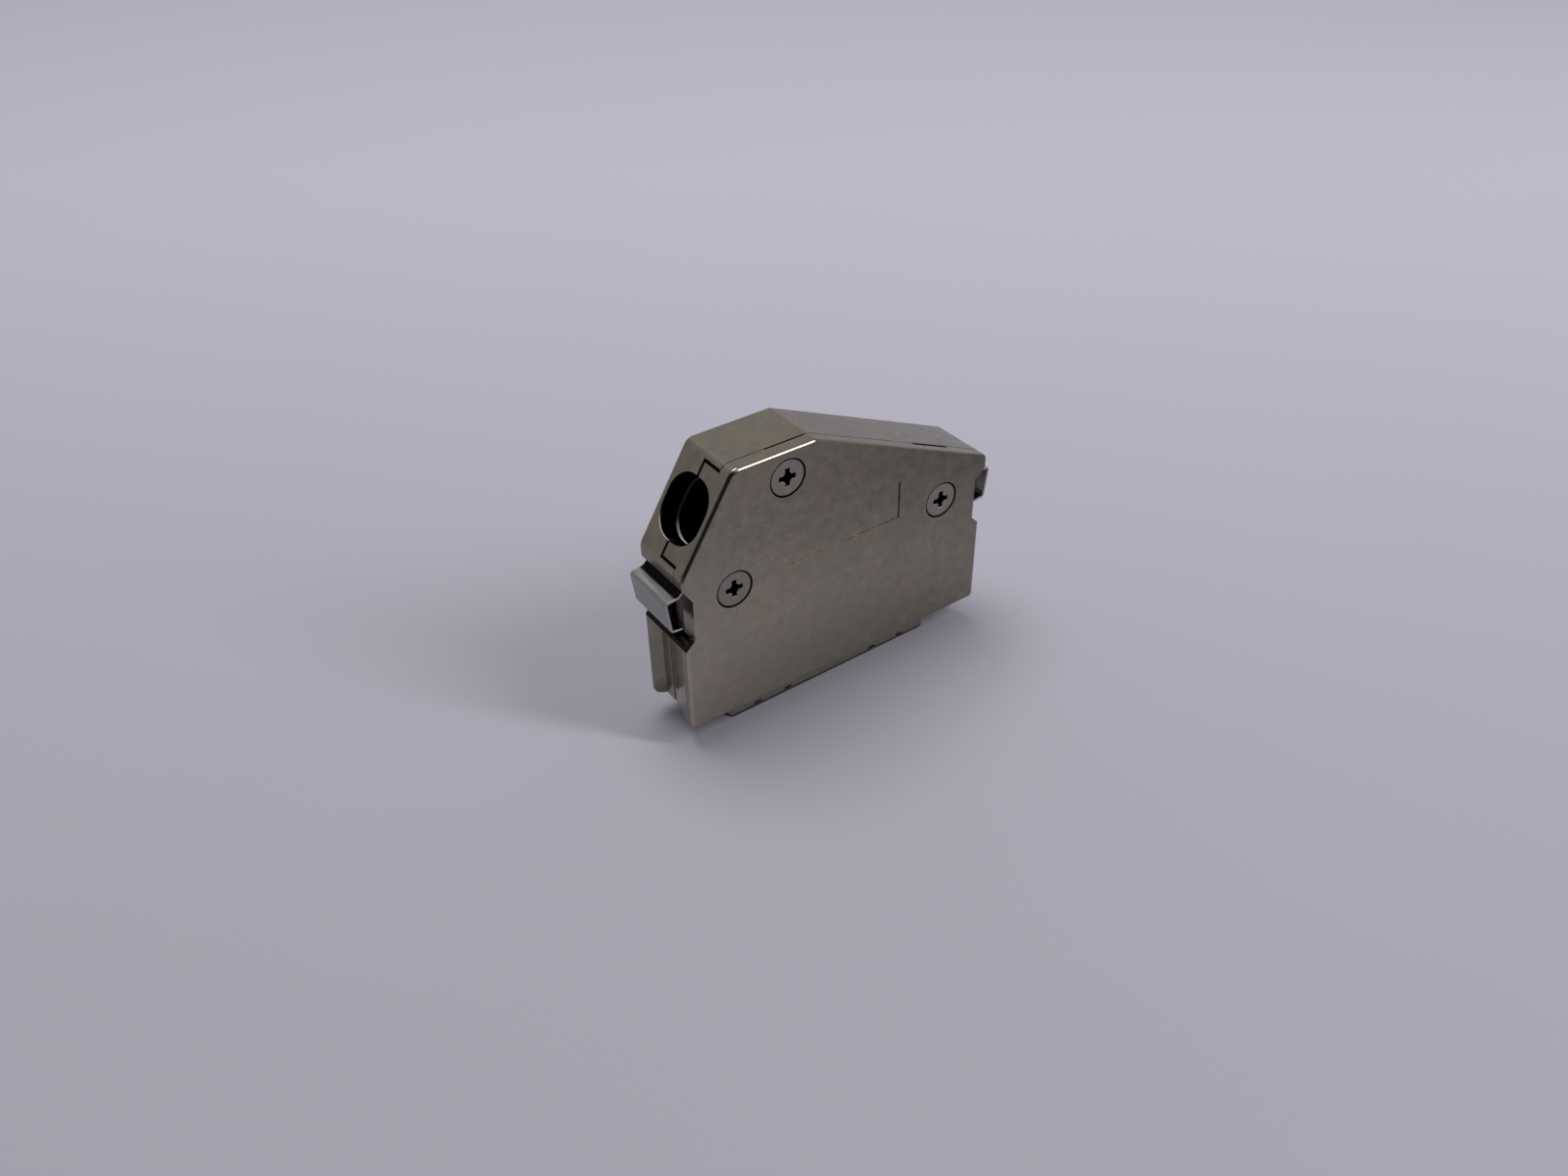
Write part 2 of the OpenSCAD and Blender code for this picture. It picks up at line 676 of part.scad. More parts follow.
// Seats for the plug's flange and blocks for the latch ears, drawn for the front, then their pockets.
module plug_seats() {
    rib_foot = nose_thickness / 2;
    for (place = [-1:1])
        translate([place * keeper_pitch - keeper_width / 2, flange_top, rib_foot])
            cube([keeper_width, keeper_height, inner_half + bury - rib_foot]);
    for (side = [0, 1])
        mirror([side, 0, 0]) {
            translate([flange_length / 2 + flange_gap, floor_thickness - bury, rib_foot])
                cube([keeper_width, flange_top - floor_thickness + bury, inner_half + bury - rib_foot]);
            block_start = arm_x - latch_steel / 2 - ear_gap - ear_wall;
            block_half = ear_height / 2 + ear_gap + ear_wall;
            translate([block_start, pivot_height - block_half, window_half])
                cube([cavity_half + bury - block_start, 2 * block_half, inner_half + bury - window_half]);
        }
}
module ear_pockets() {
    pocket_width = latch_steel + 2 * ear_gap;
    pocket_height = ear_height + 2 * ear_gap;
    for (side = [0, 1])
        mirror([side, 0, 0])
            translate([arm_x - pocket_width / 2, pivot_height - pocket_height / 2, 0])
                cube([pocket_width, pocket_height, arm_width / 2 + ear_length + ear_gap]);
}

module front_shell() {
    color(plated_zinc) stand() difference() {
        union() {
            intersection() {
                hood(0);
                front_zone(0);
            }
            for (place = screw_places)
                translate([place[0], place[1], seam])
                    cylinder(r = seat_radius, h = rim_depth - plate_thickness + bury);
            difference() {
                clamp_ribs();
                for (place = screw_places)
                    translate([place[0], place[1], 0])
                        cylinder(r = boss_radius + boss_gap, h = half_thickness);
            }
            plug_seats();
        }
        for (place = screw_places)
            translate([place[0], place[1], half_thickness]) countersink();
        ear_pockets();
        translate([panel_x, panel_middle, half_thickness - panel_depth])
            translate([-panel_length / 2, -panel_height / 2])
                cube([panel_length, panel_height, panel_depth + over]);
        translate([-peak_offset - top_pry_place - top_pry_length / 2, hood_height - pry_depth, seam - over])
            cube([top_pry_length, pry_depth + over, top_pry_width + over]);
        translate([-peak_offset, hood_height, seam - over])
            rotate(-roof_angle)
                translate([roof_pry_place - roof_pry_length / 2, -pry_depth, 0])
                    cube([roof_pry_length, pry_depth + over, roof_pry_width + over]);
        seam_line();
    }
}

// Groove along the seam, which the tongue and the lower ends interrupt.
module seam_line() {
    inset = [for (i = [0:len(outline) - 1]) let (p = outline[i], bend = turn(outline, i))
        concat(flat(p) + (left_of(way_in(outline, i)) + left_of(way_out(outline, i)))
            * seam_groove_depth / (1 + cos(bend)),
            [max(p[2] - sign(bend) * seam_groove_depth, least_round)])];
    difference() {
        translate([0, 0, seam - over])
            linear_extrude(seam_groove + over)
                difference() {
                    rounded(outline);
                    rounded(inset);
                }
        tongue_zone(0);
        translate([-hood_length, -over, 0])
            cube([2 * hood_length, notch_top + over, hood_thickness]);
    }
}

module countersink() {
    seat = head_diameter / 2 + head_gap;
    hole = shank_diameter / 2 + shank_gap;
    depth = head_sink + head_land;
    translate([0, 0, -depth]) cylinder(r = seat, h = depth + over);
    translate([0, 0, -depth - (seat - hole)]) cylinder(r1 = hole, r2 = seat, h = seat - hole);
    translate([0, 0, -rim_depth - over]) cylinder(r = hole, h = rim_depth + over);
}

module rear_shell() {
    color(plated_zinc) stand() difference() {
        union() {
            difference() {
                hood(1);
                front_zone(tongue_gap);
            }
            for (place = screw_places)
                translate([place[0], place[1], -inner_half - bury])
                    cylinder(r = boss_radius, h = inner_half + bury + seam);
            mirror([0, 0, 1]) {
                clamp_ribs();
                plug_seats();
            }
        }
        for (place = screw_places)
            translate([place[0], place[1], half_thickness - screw_length - thread_gap])
                cylinder(d = shank_diameter + 2 * thread_gap, h = screw_length);
        mirror([0, 0, 1]) ear_pockets();
    }
}

module screw(place) {
    color(screw_colour) stand()
        translate([screw_places[place][0], screw_places[place][1], half_thickness - head_sink])
            difference() {
                rotate_extrude()
                    polygon([
                        [0, 0],
                        [head_diameter / 2, 0],
                        [head_diameter / 2, -head_land],
                        [shank_diameter / 2, -head_land - (head_diameter - shank_diameter) / 2],
                        [shank_diameter / 2, -screw_length + head_sink + shank_chamfer],
                        [shank_diameter / 2 - shank_chamfer, -screw_length + head_sink],
                        [0, -screw_length + head_sink]]);
                cross_recess();
            }
}

// Cross recess that narrows towards its bottom, with a cone in its middle.
module cross_recess() {
    translate([0, 0, -cross_depth])
        cylinder(d1 = cross_width, d2 = cross_core + (cross_core - cross_width) * over / cross_depth,
            h = cross_depth + over);
    for (arm = [0, 90])
        rotate(arm)
            rotate([90, 0, 0])
                linear_extrude(cross_width, center = true)
                    polygon([
                        [-cross_length / 2, over],
                        [-cross_length / 2, 0],
                        [-cross_bottom / 2, -cross_depth],
                        [cross_bottom / 2, -cross_depth],
                        [cross_length / 2, 0],
                        [cross_length / 2, over]]);
}

// Bent from one strip: a wide button, then a narrow neck and arm with two ears and a hook.
module latch(side) {
    color(latch_colour) stand() mirror([side, 0, 0]) {
        strip(button_path, latch_steel, button_width);
        strip(arm_path, latch_steel, arm_width);
        translate([arm_x - latch_steel / 2, pivot_height - ear_height / 2, -arm_width / 2 - ear_length])
            cube([latch_steel, ear_height, arm_width + 2 * ear_length]);
    }
}

// Plan of the nose, front at the lower side, smaller by the given inset.
module nose_plan(inset) {
    front_half = nose_length / 2 - inset;
    rear_half = front_half - nose_taper;
    half_depth = nose_thickness / 2 - inset;
    corner = nose_round - inset;
    rounded([
        [-front_half, -half_depth, corner],
        [front_half, -half_depth, corner],
        [rear_half, half_depth, corner],
        [-rear_half, half_depth, corner]]);
}

module plug_shield() {
    color(plated_zinc) stand() difference() {
        union() {
            rotate([-90, 0, 0])
                translate([0, 0, -nose_reach])
                    linear_extrude(nose_reach + flange_foot) nose_plan(0);
            translate([-flange_length / 2, floor_thickness, -flange_half_thickness])
                cube([flange_length, shield_metal, 2 * flange_half_thickness]);
        }
        rotate([-90, 0, 0])
            translate([0, 0, -nose_reach - over])
                linear_extrude(nose_reach + flange_foot + 2 * over) nose_plan(shield_metal);
        for (place = [-outer_slot, -inner_slot, inner_slot, outer_slot])
            translate([place - slot_length / 2, slot_place - slot_height / 2 - nose_reach, -half_thickness])
                cube([slot_length, slot_height, hood_thickness]);
    }
}

module plug_insulator() {
    color(insulator_colour) stand() difference() {
        union() {
            translate([-flange_length / 2, flange_foot, -flange_half_thickness])
                cube([flange_length, flange_thickness, 2 * flange_half_thickness]);
            translate([-block_length / 2, flange_top - bury, -block_thickness / 2])
                cube([block_length, block_height + bury, block_thickness]);
            translate([-blade_length / 2, blade_end, -blade_thickness / 2])
                cube([blade_length, flange_foot - blade_end + bury, blade_thickness]);
        }
        for (i = [1:row_count])
            for (row = [0, 1])
                mirror([0, 0, row])
                    translate([contact_x(i), 0, 0]) contact_slot();
    }
}
function contact_x(i) = (i - (row_count + 1) / 2) * contact_pitch;
module contact_slot() {
    width = contact_width + 2 * contact_gap;
    translate([-width / 2, contact_tip - contact_gap, contact_back - contact_gap])
        cube([width, contact_top - contact_tip, contact_thickness + 2 * contact_gap]);
}

// Flat contact with a bevelled tip and tail, drawn for the front row.
module contact(i, row) {
    color(contact_colour) stand() mirror([0, 0, row])
        translate([contact_x(i), 0, contact_back])
            rotate([0, -90, 0])
                linear_extrude(contact_width, center = true)
                    polygon([
                        [0, contact_tip],
                        [contact_thickness - contact_bevel, contact_tip],
                        [contact_thickness, contact_tip + 2 * contact_bevel],
                        [contact_thickness, contact_top - 2 * contact_bevel],
                        [contact_thickness - contact_bevel, contact_top],
                        [0, contact_top]]);
}

front_shell();
rear_shell();
screw(0);  // upper_screw
screw(1);  // left_screw
screw(2);  // right_screw
latch(1);  // left_latch
latch(0);  // right_latch
plug_shield();
plug_insulator();
for (i = [1:row_count]) {
    contact(i, 0);
    contact(i, 1);
}
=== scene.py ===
import math

import bpy
from mathutils import Matrix, Vector


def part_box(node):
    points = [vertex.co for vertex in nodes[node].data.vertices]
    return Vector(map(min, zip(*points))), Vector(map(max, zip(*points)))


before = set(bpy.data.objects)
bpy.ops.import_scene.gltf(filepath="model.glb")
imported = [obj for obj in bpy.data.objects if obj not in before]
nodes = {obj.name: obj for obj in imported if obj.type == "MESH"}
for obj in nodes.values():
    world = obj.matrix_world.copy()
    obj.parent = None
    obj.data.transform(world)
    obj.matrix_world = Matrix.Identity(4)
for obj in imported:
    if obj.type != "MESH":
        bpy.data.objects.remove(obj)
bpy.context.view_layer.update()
bpy.ops.object.select_all(action="DESELECT")


# Rear shell
# The deeper half of the hood, a zinc die casting that was tumbled and then plated with satin nickel.
# It carries the plug and the latches, and the screws go into its three bosses.
front_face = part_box("front_shell")[0].y
ridge = (-0.0044, 0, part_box("rear_shell")[1].z)
roof_angle = math.radians(23.87)
cable_angle = math.radians(58)
cable_middle = (-0.0213, 0, 0.0354)
hole_half_length = 0.00475
screws = ("upper_screw", "left_screw", "right_screw")


def linear(colour):
    """Linear RGBA of an sRGB hex colour."""
    channels = [int(colour[i:i + 2], 16) / 255 for i in (1, 3, 5)]
    return [c / 12.92 if c <= 0.04045 else ((c + 0.055) / 1.055) ** 2.4 for c in channels] + [1]


def add(tree, kind, inputs, **settings):
    """Adds a node with its settings. An input is a value or another node's socket."""
    made = tree.nodes.new(kind)
    for name, value in settings.items():
        setattr(made, name, value)
    for name, value in inputs.items():
        if isinstance(value, bpy.types.NodeSocket):
            tree.links.new(value, made.inputs[name])
        else:
            made.inputs[name].default_value = value
    return made


def start_material(name):
    """An empty material: its tree, its shader and the Object coordinates that its patterns read."""
    made = bpy.data.materials.new(name)
    made.use_nodes = True
    shader = made.node_tree.nodes["Principled BSDF"]
    place = made.node_tree.nodes.new("ShaderNodeTexCoord").outputs["Object"]
    return made, made.node_tree, shader, place


def per_mm(size):
    """Scale of a pattern whose features are that many millimetres across, in a scene in metres."""
    return 1000 / size


def along(tree, place, start, direction):
    """Distance from a starting point in one direction."""
    offset = add(tree, "ShaderNodeVectorMath", {0: place, 1: start}, operation="SUBTRACT")
    reach = add(tree, "ShaderNodeVectorMath", {
        0: offset.outputs["Vector"], 1: direction}, operation="DOT_PRODUCT")
    return reach.outputs["Value"]


def from_cable_face(tree, place):
    """Depth under the slanted face that the cable enters, and height up it from the middle of the hole."""
    depth = along(tree, place, cable_middle, (math.sin(cable_angle), 0, -math.cos(cable_angle)))
    height = along(tree, place, cable_middle, (math.cos(cable_angle), 0, math.sin(cable_angle)))
    return depth, height


def from_axis(tree, place, screw):
    """Distance from the axis of a screw, and the radius of its head."""
    low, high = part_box(screw)
    axis = ((low.x + high.x) / 2, 0, (low.z + high.z) / 2)
    offset = add(tree, "ShaderNodeVectorMath", {0: place, 1: axis}, operation="SUBTRACT")
    across = add(tree, "ShaderNodeVectorMath", {
        0: offset.outputs["Vector"], 1: (1, 0, 1)}, operation="MULTIPLY")
    away = add(tree, "ShaderNodeVectorMath", {0: across.outputs["Vector"]}, operation="LENGTH")
    return away.outputs["Value"], (high.x - low.x) / 2


def zone(tree, *bands):
    """1 where each measure lies in its band, from a low to a high value, and 0 elsewhere."""
    inside = 1
    for measure, low, high in bands:
        within = add(tree, "ShaderNodeMath", {
            0: measure, 1: (low + high) / 2, 2: (high - low) / 2}, operation="COMPARE")
        both = add(tree, "ShaderNodeMath", {0: inside, 1: within.outputs["Value"]}, operation="MULTIPLY")
        inside = both.outputs["Value"]
    return inside


def dark_holes(tree, place):
    """Painted shade in the cable hole and in the rings that the countersinks leave round the screws, each 1
    inside.
    """
    at = add(tree, "ShaderNodeSeparateXYZ", {"Vector": place}).outputs
    cable_depth, up_face = from_cable_face(tree, place)

    # The hole is painted dark from a fifth of a millimetre under the cable face: painted shade inside it.
    hole_half_width, hole_reach = 0.00445, 0.02
    grey_from, black_from = 0.0002, 0.0008
    bore = zone(
        tree, (up_face, -hole_half_length, hole_half_length),
        (at["Y"], -hole_half_width, hole_half_width), (cable_depth, 0, hole_reach))
    sunk = add(tree, "ShaderNodeMapRange", {
        "Value": cable_depth, "From Min": grey_from, "From Max": black_from})
    hole = add(tree, "ShaderNodeMath", {0: bore, 1: sunk.outputs["Result"]}, operation="MULTIPLY")
    holes = [hole.outputs["Value"]]

    # Each countersink is painted dark just under the front face: painted shade in the gap round the head.
    countersink_depth, ring_width = 0.003, 0.00035
    lip_start, lip_end = 0.00001, 0.00004
    under_lip = add(tree, "ShaderNodeMapRange", {
        "Value": at["Y"], "From Min": front_face + lip_start, "From Max": front_face + lip_end})
    for screw in screws:
        away, head_radius = from_axis(tree, place, screw)
        sink = zone(
            tree, (away, 0, head_radius + ring_width), (at["Y"], front_face, front_face + countersink_depth))
        ring = add(tree, "ShaderNodeMath", {0: sink, 1: under_lip.outputs["Result"]}, operation="MULTIPLY")
        holes.append(ring.outputs["Value"])
    return holes


def dark_seams(tree, place):
    """Painted shade in the seam between the shells, along the top and round the tongue, each stretch 1
    inside.
    """
    at = add(tree, "ShaderNodeSeparateXYZ", {"Vector": place}).outputs
    cable_depth, up_face = from_cable_face(tree, place)

    # On top, the seam and its two prying slots run from the brow to the right shoulder, and are painted dark
    # inside them as painted shade.
    seam_front, seam_rear, seam_reach = -0.0037, -0.0031, 0.0016
    brow, shoulder = -0.0151, 0.0245
    grey_from, black_from = 0.00004, 0.00012
    flat_depth = along(tree, place, ridge, (0, 0, -1))
    roof_depth = along(tree, place, ridge, (-math.sin(roof_angle), 0, -math.cos(roof_angle)))
    shallower = add(tree, "ShaderNodeMath", {0: flat_depth, 1: roof_depth}, operation="MINIMUM")
    top_depth = shallower.outputs["Value"]
    gap = zone(
        tree, (at["Y"], seam_front, seam_rear), (at["X"], brow, shoulder), (top_depth, 0, seam_reach))
    sunk = add(tree, "ShaderNodeMapRange", {
        "Value": top_depth, "From Min": grey_from, "From Max": black_from})
    seam = add(tree, "ShaderNodeMath", {0: gap, 1: sunk.outputs["Result"]}, operation="MULTIPLY")

    # Both lips of the roof's prying slot are painted dark as well: painted shade that widens the slot's dark
    # bar.
    slot_start, slot_end, lip = 0.0195, 0.0263, 0.00012
    down_roof = along(tree, place, ridge, (math.cos(roof_angle), 0, -math.sin(roof_angle)))
    lips = zone(
        tree, (down_roof, slot_start, slot_end), (at["Y"], seam_front - lip, seam_rear + lip),
        (top_depth, -lip, seam_reach))

    # On the cable face, painted shade lines the gap beside the front shell's tongue and across its two ends.
    hole_end, tongue_end, end_gap, beside_gap = 0.004, 0.007, 0.00683, 0.00013
    gap_front, gap_rear, line = -0.0033, 0.0003, 0.00024
    skin = 0.0005
    from_middle = add(tree, "ShaderNodeMath", {0: up_face}, operation="ABSOLUTE").outputs["Value"]
    beside = zone(
        tree, (at["Y"], beside_gap - line, beside_gap + line), (from_middle, hole_end, tongue_end),
        (cable_depth, -skin, skin))
    across = zone(
        tree, (from_middle, end_gap - line, end_gap + line), (at["Y"], gap_front, gap_rear),
        (cable_depth, -skin, skin))
    return [seam.outputs["Value"], lips, beside, across]


def painted_shade_and_dark_edge(tree, place):
    """Recesses painted with shade, each 1 inside, and an edge painted with a dark reflection, which is
    darkened less.
    """
    at = add(tree, "ShaderNodeSeparateXYZ", {"Vector": place}).outputs
    cable_depth, _ = from_cable_face(tree, place)

    # The rounded edge between the cable face and the front is painted darker: a painted dark reflection.
    edge_start, edge_end, dark_reflection_level = 0.00004, 0.00044, 0.68
    edge = zone(
        tree, (at["Y"], front_face + edge_start, front_face + edge_end), (cable_depth, edge_start, edge_end))
    dark_reflection = add(tree, "ShaderNodeMath", {0: edge, 1: dark_reflection_level}, operation="MULTIPLY")

    # The shallow recess in the front is painted dark along its low walls: painted shade.
    recess_left, recess_right, recess_foot, recess_head = -0.00885, 0.01015, 0.0241, 0.0305
    recess_depth, skin = 0.00015, 0.0000005
    walls = zone(
        tree, (at["X"], recess_left, recess_right), (at["Z"], recess_foot, recess_head),
        (at["Y"], front_face + skin, front_face + recess_depth - skin))

    # The slanted ledges under the two buttons are painted dark all over: painted shade under the buttons.
    ledge_inner, ledge_outer, ledge_foot, ledge_head = 0.02395, 0.02545, 0.01725, 0.01865
    ledge_half_width = 0.00524
    out = add(tree, "ShaderNodeMath", {0: at["X"]}, operation="ABSOLUTE").outputs["Value"]
    ledges = zone(
        tree, (out, ledge_inner, ledge_outer), (at["Z"], ledge_foot, ledge_head),
        (at["Y"], -ledge_half_width, ledge_half_width))
    return [dark_reflection.outputs["Value"], walls, ledges]


def painted_hole_light(tree, place):
    """1 on a stripe of painted light round the inner end of the hole or on the lower rim, and 1 where
    painted glints lie on the stripe's foot and on that rim.
    """
    at = add(tree, "ShaderNodeSeparateXYZ", {"Vector": place}).outputs
    cable_depth, up_face = from_cable_face(tree, place)
    rear_start, rear_end = 0.0001, 0.0044
    along_hole = (up_face, -hole_half_length, hole_half_length)
    rear_half = (at["Y"], rear_start, rear_end)

    # A stripe of painted light runs round the inner end of the hole, standing in for its lit edge, and its
    # foot carries a painted glint.
    stripe_start, stripe_end = 0.00295, 0.00345
    foot_top, foot_full = -0.0027, -0.0036
    stripe = zone(tree, along_hole, rear_half, (cable_depth, stripe_start, stripe_end))
    low_down = add(tree, "ShaderNodeMapRange", {
        "Value": up_face, "From Min": foot_top, "From Max": foot_full})
    foot = add(tree, "ShaderNodeMath", {0: stripe, 1: low_down.outputs["Result"]}, operation="MULTIPLY")

    # The lower rim, at the cable face, carries a painted glint too.
    rim_start, rim_end = 0.00001, 0.00019
    rim_top, rim_full = -0.0014, -0.0032
    edge = zone(tree, along_hole, rear_half, (cable_depth, rim_start, rim_end))
    lower = add(tree, "ShaderNodeMapRange", {
        "Value": up_face, "From Min": rim_top, "From Max": rim_full})
    rim = add(tree, "ShaderNodeMath", {0: edge, 1: lower.outputs["Result"]}, operation="MULTIPLY")

    painted_stripe_and_rim = add(tree, "ShaderNodeMath", {0: stripe, 1: rim.outputs["Value"]}, operation="MAXIMUM")
    polished = add(tree, "ShaderNodeMath", {
        0: foot.outputs["Value"], 1: rim.outputs["Value"]}, operation="MAXIMUM")
    return painted_stripe_and_rim.outputs["Value"], polished.outputs["Value"]


def plate_marks_and_painted_light(tree, place, film):
    """Brightness of the plating: filmed over and marked, with painted light on the flat sides and in the
    recess at each lower end.
    """
    filmed = add(tree, "ShaderNodeMapRange", {"Value": film, "To Min": 1.14, "To Max": 0.86})

    # Pale specks and fine, leaning scratches lie in patches.
    patch = add(tree, "ShaderNodeTexNoise", {"Vector": place, "Scale": per_mm(9), "Detail": 2})
    scuffed = add(tree, "ShaderNodeMapRange", {
        "Value": patch.outputs["Fac"], "From Min": 0.42, "From Max": 0.6})
    fleck = add(tree, "ShaderNodeTexNoise", {
        "Vector": place, "Scale": per_mm(0.8), "Detail": 6, "Roughness": 0.7})
    speck = add(tree, "ShaderNodeMapRange", {
        "Value": fleck.outputs["Fac"], "From Min": 0.56, "From Max": 0.74, "To Min": 0, "To Max": 0.4})
    leaning = add(tree, "ShaderNodeMapping", {
        "Vector": place, "Rotation": (0, math.radians(52), 0), "Scale": (0.07, 1, 1)})
    hair = add(tree, "ShaderNodeTexNoise", {
        "Vector": leaning.outputs["Vector"], "Scale": per_mm(0.2), "Detail": 1})
    scratch = add(tree, "ShaderNodeMapRange", {
        "Value": hair.outputs["Fac"], "From Min": 0.68, "From Max": 0.78, "To Min": 0, "To Max": 0.3})
    marks = add(tree, "ShaderNodeMath", {
        0: speck.outputs["Result"], 1: scratch.outputs["Result"]}, operation="ADD")
    marked = add(tree, "ShaderNodeMath", {
        0: marks.outputs["Value"], 1: scuffed.outputs["Result"], 2: filmed.outputs["Result"]},
        operation="MULTIPLY_ADD")

    # The two flat sides are painted lighter lower down, painted light standing in for the lit floor that
    # they reflect, and lighter towards the left end than the right.
    at = add(tree, "ShaderNodeSeparateXYZ", {"Vector": place}).outputs
    side_from = 0.0051
    lighter_low = add(tree, "ShaderNodeMapRange", {
        "Value": at["Z"], "From Min": 0.012, "From Max": 0.036, "To Min": 0.26, "To Max": -0.2},
        interpolation_type="SMOOTHSTEP")
    lighter_left = add(tree, "ShaderNodeMapRange", {
        "Value": at["X"], "From Min": -0.025, "From Max": 0.025, "To Min": 0.3, "To Max": -0.28})
    side_gradient = add(tree, "ShaderNodeMath", {
        0: lighter_low.outputs["Result"], 1: lighter_left.outputs["Result"]}, operation="ADD")
    between_sides = zone(tree, (at["Y"], -side_from, side_from))
    on_sides = add(tree, "ShaderNodeMapRange", {"Value": between_sides, "To Min": 1, "To Max": 0})
    worn = add(tree, "ShaderNodeMath", {
        0: side_gradient.outputs["Value"], 1: on_sides.outputs["Result"], 2: marked.outputs["Value"]},
        operation="MULTIPLY_ADD")

    # The recess at each lower end is painted lighter, as painted light.
    end_inner, end_outer, end_height = 0.0236, 0.0248, 0.0172
    end_front, end_rear, recess_lift = -0.0019, 0.0035, 0.1
    out = add(tree, "ShaderNodeMath", {0: at["X"]}, operation="ABSOLUTE").outputs["Value"]
    recess_painted_light = zone(
        tree, (out, end_inner, end_outer), (at["Z"], 0, end_height), (at["Y"], end_front, end_rear))
    bright = add(tree, "ShaderNodeMath", {
        0: recess_painted_light, 1: recess_lift, 2: worn.outputs["Value"]}, operation="MULTIPLY_ADD")
    return bright.outputs["Value"]


def satin_nickel():
    """Satin nickel on die-cast zinc: warm grey, half glossy, with faint stains, smudges and scratches."""
    made, tree, shader, place = start_material("satin nickel on die-cast zinc")

    # Broad, weak stains run from a yellowish to a pinkish grey.
    stain = add(tree, "ShaderNodeTexNoise", {
        "Vector": place, "Scale": per_mm(7), "Detail": 5, "Roughness": 0.6})
    tint = add(tree, "ShaderNodeValToRGB", {"Fac": stain.outputs["Fac"]})
    tint.color_ramp.elements[0].position = 0.4
    tint.color_ramp.elements[0].color = linear("#8a8779")
    tint.color_ramp.elements[1].position = 0.66
    tint.color_ramp.elements[1].color = linear("#928779")

    # Handling leaves a thin, cloudy film, which dims the plating and takes some of its gloss.
    cloud = add(tree, "ShaderNodeTexNoise", {
        "Vector": place, "Scale": per_mm(1.8), "Detail": 5, "Roughness": 0.6})
    film = add(tree, "ShaderNodeMapRange", {
        "Value": cloud.outputs["Fac"], "From Min": 0.3, "From Max": 0.72}).outputs["Result"]
    bright = plate_marks_and_painted_light(tree, place, film)
    gloss = add(tree, "ShaderNodeMapRange", {"Value": film, "To Min": 0.18, "To Max": 0.27})
    tree.links.new(gloss.outputs["Result"], shader.inputs["Roughness"])

    # Holes, seams and recesses are painted dark as painted shade, and the edge beside the cable face as a
    # painted dark reflection.
    dark = 0
    for mask in dark_holes(tree, place) + dark_seams(tree, place) + painted_shade_and_dark_edge(tree, place):
        dark = add(tree, "ShaderNodeMath", {0: dark, 1: mask}, operation="MAXIMUM").outputs["Value"]
    kept = add(tree, "ShaderNodeMapRange", {"Value": dark, "To Min": 1, "To Max": 0.08})
    lit = add(tree, "ShaderNodeMath", {0: bright, 1: kept.outputs["Result"]}, operation="MULTIPLY")
    plated = add(tree, "ShaderNodeVectorMath", {
        0: tint.outputs["Color"], 1: lit.outputs["Value"]}, operation="MULTIPLY")

    # A matt, pale stripe round the inner end of the hole is painted light standing in for its lit inner
    # edge, and its foot and the lower rim carry near-white painted glints.
    zinc, polished = painted_hole_light(tree, place)
    painted_edge_light = add(tree, "ShaderNodeMixRGB", {
        "Fac": polished, "Color1": linear("#72706c"), "Color2": linear("#f2f0ec")})
    shade = add(tree, "ShaderNodeMixRGB", {
        "Fac": zinc, "Color1": plated.outputs["Vector"], "Color2": painted_edge_light.outputs["Color"]})
    tree.links.new(shade.outputs["Color"], shader.inputs["Base Color"])
    metal = add(tree, "ShaderNodeMath", {0: 1, 1: zinc}, operation="SUBTRACT")
    tree.links.new(metal.outputs["Value"], shader.inputs["Metallic"])

    # Tumbling leaves the faces faintly wavy. The satin's tooth is drawn at a quarter of a millimetre, much
    # coarser than it is, so that it shows.
    skin = add(tree, "ShaderNodeTexNoise", {"Vector": place, "Scale": per_mm(1.4), "Detail": 2})
    tooth = add(tree, "ShaderNodeTexNoise", {"Vector": place, "Scale": per_mm(0.25), "Detail": 2})
    waves = add(tree, "ShaderNodeBump", {"Height": skin.outputs["Fac"], "Strength": 1, "Distance": 0.000003})
    satin = add(tree, "ShaderNodeBump", {
        "Height": tooth.outputs["Fac"], "Normal": waves.outputs["Normal"], "Strength": 1,
        "Distance": 0.0000008})
    tree.links.new(satin.outputs["Normal"], shader.inputs["Normal"])
    return made


def dress(name, material):
    """Gives a node its material."""
    piece = nodes[name]
    piece.data.materials.clear()
    piece.data.materials.append(material)


hood_plate = satin_nickel()
dress("rear_shell", hood_plate)


